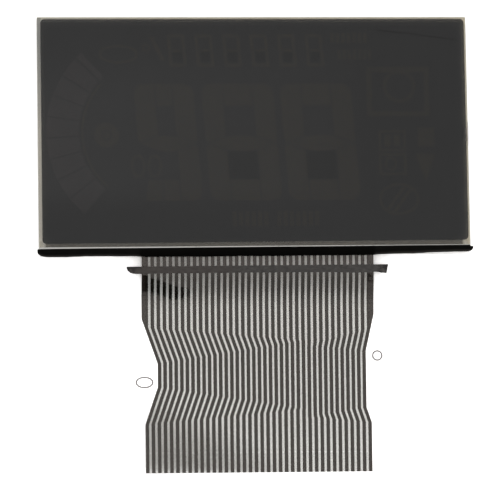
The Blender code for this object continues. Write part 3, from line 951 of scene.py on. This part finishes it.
segmentPlan = {
    "share": (0.25, 0.75),        # of the fluid's depth
    "facets": 6,                  # of a bar's curves and of a gauge cell
    "lensFacets": 16,
    "sliverFacets": 2,
    "large": {"width": 14.96, "height": 24.45, "side": 4.42, "top": 4.60, "low": 4.37,
              "middle": 11.95, "lens": 1.82, "point": 0.85, "corner": 2.1, "gap": 0.13,
              "lean": 0.072, "left": -9.14, "base": -13.50, "step": 16.40, "count": 2},
    # narrower, and its lower left bar is a stub that begins here at its foot and its top
    "first": {"width": 12.40, "left": -23.24, "count": 1, "stub": (0.6, 1.5)},
    "small": {"width": 3.70, "height": 6.95, "side": 0.80, "top": 0.80, "low": 0.80,
              "middle": 3.45, "lens": 0.36, "point": 0.20, "corner": 0.45, "gap": 0.05,
              "lean": 0.085, "left": -17.35, "base": 14.45, "step": 5.76, "count": 6},
    "gauge": {"middle": (-20.87, 0.85), "inner": 15.45, "outer": 22.25, "from": 136.3,
              "cell": 11.77, "cells": 8, "gap": 0.85, "sliver": (131.4, 135.3),
              "line": 14.98, "lineWidth": 0.42},
}


def arcPoints(x, y, radius, start, end, facets):
    turns = [math.radians(start + (end - start) * k / facets) for k in range(facets + 1)]
    return [(x + radius * math.cos(turn), y + radius * math.sin(turn)) for turn in turns]


def barOutline(x0, y0, x1, y1):
    return [(x0, y0), (x1, y0), (x1, y1), (x0, y1)]


def digitOutlines(plan):
    # seven bars round two loops, the middle one pointed at both ends like a lens
    w, h, side, gap = [plan[key] for key in ("width", "height", "side", "gap")]
    middle, point, corner = [plan[key] for key in ("middle", "point", "corner")]
    facets, lensFacets = segmentPlan["facets"], segmentPlan["lensFacets"]

    def lensEdge(x, up):
        return middle + up * plan["lens"] * (1 - ((x - w / 2) / (w / 2 - point)) ** 2)

    def sideBar(up, right):
        # from the outer corner in to the stroke's inner edge, then back along the lens
        edge, start = (h, 90) if up > 0 else (0, 270)
        bar = [(side - gap, edge)]
        bar += arcPoints(corner, edge - up * corner, corner, start, 180, facets)
        bar += [(0, middle + up * (1.6 * gap + point)), (point * 0.45, middle + up * gap)]
        for k in range(facets + 1):
            x = point + (side - gap - point) * k / facets
            bar.append((x, lensEdge(x, up) + up * gap))
        return [(w - x, y) for x, y in bar] if right else bar

    lens = [(point + (w - 2 * point) * k / lensFacets, 1) for k in range(lensFacets + 1)]
    lens += [(x, -1) for x, _ in lens[-2:0:-1]]
    bars = [[(x, lensEdge(x, up) - up * gap) for x, up in lens]]
    bars += [barOutline(side + gap, y0, w - side - gap, y1)
             for y0, y1 in ((h - plan["top"], h), (0, plan["low"]))]
    bars += [sideBar(1, False), sideBar(1, True), sideBar(-1, True)]
    if "stub" in plan:
        foot, top = plan["stub"]
        bars.append([(foot, 0), (side - gap, 0), (side - gap, plan["low"]), (top, plan["low"])])
    else:
        bars.append(sideBar(-1, False))
    return [[(x - y * plan["lean"], y) for x, y in bar] for bar in bars]


def layPlates(name, outlines, count=1, start=(0.0, 0.0), step=0.0, firstTurn=0.0, turn=0.0,
              finish="electrode"):
    low, high = span("liquid_crystal", 2)
    base, top = [low + (high - low) * share for share in segmentPlan["share"]]
    pattern = flatPattern(name + "_pattern", outlines)
    grow(name, plates, {"Pattern": pattern, "Count": count,
                        "Start": (start[0] * mm, start[1] * mm, base),
                        "Step": (step * mm, 0.0, 0.0),
                        "First Turn": math.radians(firstTurn), "Turn": math.radians(turn),
                        "Thickness": top - base, "Material": finishes[finish]}, "glass")
    bpy.data.objects.remove(pattern, do_unlink=True)


def gaugeCell(inner, outer, sweep, facets):
    return arcPoints(0, 0, outer, 0, sweep, facets) + arcPoints(0, 0, inner, sweep, 0, facets)


def makeSegments(plan):
    large, small, gauge = [plan[key] for key in ("large", "small", "gauge")]
    digits = {"first_large_digit": dict(large, **plan["first"]), "large_digits": large,
              "small_digits": small}
    for name, digit in digits.items():
        layPlates(name, digitOutlines(digit), digit["count"], (digit["left"], digit["base"]),
                  digit["step"])
    inner, outer, cell = gauge["inner"], gauge["outer"], gauge["cell"]
    wide = gaugeCell(inner, outer, cell - gauge["gap"], plan["facets"])
    layPlates("gauge_cells", [wide], gauge["cells"], gauge["middle"],
              firstTurn=gauge["from"], turn=cell, finish="gaugeElectrode")
    start, end = gauge["sliver"]
    short = gaugeCell(inner, outer, end - start, plan["sliverFacets"])
    layPlates("gauge_sliver", [short], 1, gauge["middle"], firstTurn=start,
              finish="gaugeElectrode")
    thin = gaugeCell(gauge["line"] - gauge["lineWidth"], gauge["line"], cell, plan["facets"])
    layPlates("gauge_line", [thin], gauge["cells"], gauge["middle"], firstTurn=gauge["from"],
              turn=cell)


makeSegments(segmentPlan)


# Plain marks beside the digits, and rows of plain bars above and below them, in mm

markPlan = {
    "rings": [(-30.6, 0.3, 2.6, 2.6, 1.45), (-30.6, 0.3, 0.8, 0.8, 0.7),
              (-22.2, 18.5, 0.85, 0.85, 0.35),
              (-24.15, -6.2, 1.55, 2.45, 0.55), (-20.7, -6.2, 1.55, 2.45, 0.55),
              (-28.0, 17.2, 4.1, 2.0, 0.55), (30.7, 10.3, 3.5, 3.5, 0.75),
              (28.6, -6.0, 1.3, 1.5, 0.45), (30.2, -13.4, 4.3, 3.4, 0.6)],
    "ringFaces": 24,
    "frames": [(23.8, 4.0, 37.0, 14.4, 1.1), (26.1, -3.4, 31.9, 1.1, 0.55),
               (26.1, -8.4, 31.9, -3.8, 0.55)],
    "bars": [(27.3, -2.4, 28.6, 0.1), (29.3, -2.4, 30.7, 0.1), (34.4, -2.4, 37.9, 1.6)],
    "slash": [(-21.6, 20.8), (-20.7, 20.9), (-18.2, 15.9), (-19.1, 15.8)],
    "wedge": [(33.8, -3.9), (38.0, -3.9), (35.9, -9.8)],
    "dashes": [(27.4, -15.6, 31.6, -11.0, 0.8), (28.9, -16.0, 33.0, -11.4, 0.8)],
    "barRows": [(16.4, 19.5, 7, 1.15, 0.78, 2.1), (17.8, 16.0, 7, 1.08, 0.72, 2.1),
                (-4.7, -18.9, 6, 1.32, 0.85, 3.1), (4.6, -18.9, 7, 1.32, 0.85, 3.1)],
}                                 # rows of bars: left, low, count, step, width, height


def ringOutlines(faces, x, y, rx, ry, width):
    # a ring as a row of four-sided faces
    quads = []
    for k in range(faces):
        corners = []
        for turn, inset in ((k, 0), (k + 1, 0), (k + 1, width), (k, width)):
            a = 2 * math.pi * turn / faces
            corners.append((x + (rx - inset) * math.cos(a), y + (ry - inset) * math.sin(a)))
        quads.append(corners)
    return quads


def frameOutlines(x0, y0, x1, y1, width):
    return [barOutline(x0, y0, x1, y0 + width), barOutline(x0, y1 - width, x1, y1),
            barOutline(x0, y0 + width, x0 + width, y1 - width),
            barOutline(x1 - width, y0 + width, x1, y1 - width)]


def makeMarks(plan):
    outlines = [plan["slash"], plan["wedge"]]
    for ring in plan["rings"]:
        outlines += ringOutlines(plan["ringFaces"], *ring)
    for box in plan["frames"]:
        outlines += frameOutlines(*box)
    outlines += [barOutline(*box) for box in plan["bars"]]
    outlines += [[(x0, y0), (x0 + width, y0), (x1, y1), (x1 - width, y1)]
                 for x0, y0, x1, y1, width in plan["dashes"]]
    layPlates("plain_marks", outlines)
    for number, (left, low, bars, step, width, height) in enumerate(plan["barRows"], 1):
        layPlates(f"blank_words_{number}", [barOutline(0, 0, width, height)], bars, (left, low),
                  step)


makeMarks(markPlan)
print("segments and marks ready")


# Epoxy squeezed out past the seal, to the panes' edges

spreadPlan = {
    "outer": (0.07 * mm, 0.3 * mm),       # distance from the glass's edge, and corner radius
    "inner": (0.402 * mm, 3.0 * mm),
    "foot": 41.2 * mm,                    # how far from the middle it ends on the lower edge
    "portGap": 0.1 * mm,
    # of a corner, the left side, half the top, and the right side above and below the port
    "facets": (8, 12, 12, 8, 10),
    "ragged": 0.025 * mm,
    "raggedPace": (2.3, 0.9),
    "sink": 0.001 * mm,
}


def rimPaths(plan, inset, corner):
    # from the lower edge up the left side, over the top and down to the port, and from the
    # port down round the last corner
    half = span("front_glass", 0)[1]
    bottom, top = span("front_glass", 1)
    port, foot = span("end_seal", 1), plan["foot"]
    portLow, portHigh = port[0] - plan["portGap"], port[1] + plan["portGap"]
    x, high, low = half - inset - corner, top - inset - corner, bottom + inset + corner
    bend, side, halfTop, above, below = plan["facets"]
    main = [(-foot, bottom + inset)] + arcPoints(-x, low, corner, 270, 180, bend)
    main += [(inset - half, low + (high - low) * k / side) for k in range(1, side)]
    main += arcPoints(-x, high, corner, 180, 90, bend)
    main += [(x * (k / halfTop - 1), top - inset) for k in range(1, 2 * halfTop)]
    main += arcPoints(x, high, corner, 90, 0, bend)
    main += [(half - inset, high + (portHigh - high) * k / above) for k in range(1, above + 1)]
    last = [(half - inset, portLow + (low - portLow) * k / below) for k in range(below)]
    last += arcPoints(x, low, corner, 360, 270, bend) + [(foot, bottom + inset)]
    return main, last


def makeSpread(plan):
    below, above = span("perimeter_seal", 2)
    z0, z1 = below + plan["sink"], above - plan["sink"]
    pace, slow = plan["raggedPace"]
    bm = bmesh.new()
    for outer, inner in zip(rimPaths(plan, *plan["outer"]), rimPaths(plan, *plan["inner"])):
        rings = []
        for number, ((x0, y0), (x1, y1)) in enumerate(zip(outer, inner)):
            shift = plan["ragged"] * math.sin(number * pace) * math.cos(number * slow)
            away = Vector((x0 - x1, y0 - y1)).normalized() * shift
            x0, y0 = x0 + away.x, y0 + away.y
            corners = ((x0, y0, z0), (x0, y0, z1), (x1, y1, z1), (x1, y1, z0))
            rings.append([bm.verts.new(corner) for corner in corners])
        skinRings(bm, rings)
    settle(pieceFromBmesh("seal_spread", bm, "seal"), "seal_epoxy")


makeSpread(spreadPlan)


# Rims of the two punched holes

holePlan = {
    "width": 0.27 * mm,
    "height": 0.075 * mm,
    "z": 0.062 * mm,
    "oval": {"u": -23.595 * mm, "v": 27.69 * mm, "across": 2.1 * mm, "along": 3.38 * mm},
    "round": {"u": 24.835 * mm, "v": 22.40 * mm, "across": 1.9 * mm, "along": 1.9 * mm},
}

for name in ("oval", "round"):
    hole = holePlan[name]
    grow(name + "_hole_rim", rims, {
        "Across": hole["across"], "Along": hole["along"], "Width": holePlan["width"],
        "Height": holePlan["height"], "Turn": ribbonPlan["skew"],
        "Middle": tuple(ribbonPoint(hole["u"], hole["v"], holePlan["z"])),
        "Material": finishes["burr"]}, "clear_film")


# Small chips along the ground bevel

chipPlan = {
    "outline": [(-0.10, -0.06), (0.02, -0.09), (0.11, 0.01), (0.03, 0.08), (-0.08, 0.06)],
    "thickness": 0.004 * mm,
    "inward": 0.215 * mm,
    "slope": math.radians(45),
    # each run's first place and step in mm, and its count
    "runs": [(18.52, 1.25, 4), (24.49, 1.25, 1), (-12.45, 0.6, 2), (4.7, 1.0, 1)],
}


def makeChips(plan):
    # laid on the upper part of the bevel, clear of the bead, and turned into its plane
    low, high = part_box("front_glass")
    inward = plan["inward"]
    middle = Vector((0, low.y + inward, high.z - bevelDepth + inward))
    pattern = flatPattern("chip_pattern", [plan["outline"]])
    pattern.data.transform(Matrix.Translation(middle) @ Matrix.Rotation(plan["slope"], 4, "X"))
    for number, (x, step, count) in enumerate(plan["runs"], 1):
        grow(f"bevel_chips_{number}", plates, {
            "Pattern": pattern, "Count": count, "Start": (x * mm, 0.0, 0.0),
            "Step": (step * mm, 0.0, 0.0), "Thickness": plan["thickness"],
            "Material": finishes["chip"]}, "glass")
    bpy.data.objects.remove(pattern, do_unlink=True)


makeChips(chipPlan)
print("rims and chips ready")


# Black bead along the ledge

beadPlan = {
    # shares of the bead's length, with how deep it is and how far it climbs the bevel, in mm
    "depths": [(0.0, 1.58), (0.05, 1.61), (0.14, 1.51), (0.205, 1.54), (0.255, 1.73), (0.42, 1.74),
               (0.5, 1.71), (0.62, 1.70), (0.755, 1.69), (0.83, 1.43), (0.94, 1.17), (1.0, 1.14)],
    "climbs": [(0.0, 0.02), (0.05, 0.05), (0.15, 0.08), (0.6, 0.14), (0.9, 0.21), (1.0, 0.22)],
    "climbFrom": 0.8,             # where the ends are slimmer than this it doesn't climb
    "climbGain": 1.2,
    "brimGain": 1.25,
    "leftEnd": (2.2 * mm, 0.34),  # how long the rounded end is, and how blunt
    "rightEnd": (1.5 * mm, 0.22),
    "roundness": 2.5,
    "stations": 240,
    "facets": 12,
    "wobble": 0.022 * mm,
    "waves": [(410, 0.0, 1.0), (1130, 1.3, 0.6), (2370, 0.4, 0.4)],
    "overhangLift": 0.02 * mm,    # past the glass's sides, where it lies on nothing
    "clearance": 0.004 * mm,
}


def beadRounding(plan, fromLeft, fromRight):
    # 1 along the bead, less towards its ends
    rounding = 1.0
    for away, (reach, blunt) in ((fromLeft, plan["leftEnd"]), (fromRight, plan["rightEnd"])):
        if away < reach:
            rounding = blunt + (1 - blunt) * math.sqrt(1 - (1 - away / reach) ** 2)
    return rounding


def makeBead(plan):
    low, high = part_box("ledge_bead")
    back, left, right = high.y, low.x, high.x
    ledge = span("rear_glass", 2)[1] + layerGap
    overFilm = ribbonPlan["seat"] + ribbonPlan["filmTop"] + layerGap
    bevelFoot = span("front_glass", 2)[1] - bevelDepth
    glassSide = span("front_glass", 0)[1]
    count, facets, power = plan["stations"], plan["facets"], 2 / plan["roundness"]
    bm = bmesh.new()
    sections = []
    for k in range(count + 1):
        x = (left + right) / 2 - (right - left) / 2 * math.cos(math.pi * k / count)
        share = (x - left) / (right - left)
        rounding = beadRounding(plan, x - left, right - x)
        wobble = plan["wobble"] * waves(x, plan["waves"])
        depth = (valueAt(plan["depths"], share) + wobble) * rounding
        climb = valueAt(plan["climbs"], share) * min(1.0, rounding * plan["climbGain"])
        foot = overFilm if abs(x - ribbonPlan["origin"][0]) < ribbonPlan["filmHalf"] else ledge
        foot = foot if abs(x) < glassSide else foot + plan["overhangLift"]
        brim = foot + (bevelFoot - foot) * min(1.0, rounding * plan["brimGain"])
        section = [(back, foot), (back, brim - plan["clearance"])]
        if abs(x) < glassSide and rounding > plan["climbFrom"]:
            section.append((back + climb, brim + climb - plan["clearance"]))
        else:
            section.append((back, brim + layerGap))
        startY, startZ = section[-1]
        for n in range(1, facets + 1):
            a = math.pi / 2 * n / facets
            out = math.sin(a) ** power
            up = math.cos(a) ** power if n < facets else 0
            section.append((startY + (back - depth - startY) * out, foot + (startZ - foot) * up))
        sections.append([bm.verts.new((x, y, z)) for y, z in section])
    skinRings(bm, sections)
    settle(pieceFromBmesh("ledge_bead_body", bm, "silicone", 50), "black_silicone", "ledge_bead")


makeBead(beadPlan)
print("bead ready")


# Dark tape across the ribbon

tapePlan = {
    "top": 3.67 * mm,
    "tilt": -0.04 * mm,
    # places along the ribbon and how wide the tape is there, in mm
    "widths": [(-25.3, 1.53), (-22.8, 1.51), (-20.3, 1.49), (-17.8, 1.45), (-14.0, 1.50),
               (-10.3, 1.45), (-6.5, 1.485), (1.0, 1.49), (8.5, 1.49), (12.2, 1.535),
               (16.0, 1.565), (19.7, 1.68), (21.8, 1.67), (24.7, 1.56), (26.0, 1.80), (27.0, 1.86)],
    "thickness": 0.06 * mm,
    "clearance": 0.002 * mm,
    "leftCut": 1.9 * mm,
    "leftTip": 0.05 * mm,
    "rightCut": 0.35 * mm,
    "rightTip": 0.06,             # of the width
    "ragged": 0.035 * mm,
    "waves": [(5200, 0.0, 0.5), (2310, 0.7, 1.0), (11900, 2.0, 0.7)],
    "raggedEnd": 3 * mm,          # it is more ragged this near to its ends
    "raggedShare": 0.15,          # of that, elsewhere
    "columns": 260,
    "rows": 8,
}


def tapeWidth(plan, u):
    # cut round at the left end and slanted at the right one
    width = valueAt(plan["widths"], u / mm)
    left = (ribbonPlan["filmHalf"] + u) / plan["leftCut"]
    right = (ribbonPlan["filmHalf"] - u) / plan["rightCut"]
    if left < 1:
        tip = plan["leftTip"]
        width = tip + (width - tip) * math.sqrt(1 - (1 - left) ** 2)
    if right < 1:
        width *= plan["rightTip"] + (1 - plan["rightTip"]) * right
    return width


def makeTape(plan):
    half, skew = ribbonPlan["filmHalf"], math.tan(ribbonPlan["skew"])
    columns, rows, least = plan["columns"], plan["rows"], plan["raggedShare"]
    bottom = ribbonPlan["filmTop"] + plan["clearance"]
    bm = bmesh.new()
    rings = []
    for k in range(columns + 1):
        u = half * -math.cos(math.pi * k / columns)
        near = max(0.0, 1 - (half - abs(u)) / plan["raggedEnd"])
        rough = plan["ragged"] * waves(u, plan["waves"]) * (least + (1 - least) * near)
        width = tapeWidth(plan, u) + rough
        high = plan["top"] + u * skew + plan["tilt"] * u / half
        rowPlaces = [high + width * n / rows for n in range(rows + 1)]
        below, above = [[ribbonPoint(u, v, ribbonHeight(v) + lift) for v in rowPlaces]
                        for lift in (bottom, bottom + plan["thickness"])]
        rings.append([bm.verts.new(point) for point in below + above[::-1]])
    skinRings(bm, rings)
    settle(pieceFromBmesh("cross_tape_strip", bm, "tape", 40), "dark_tape", "cross_tape")


makeTape(tapePlan)
print("tape ready")
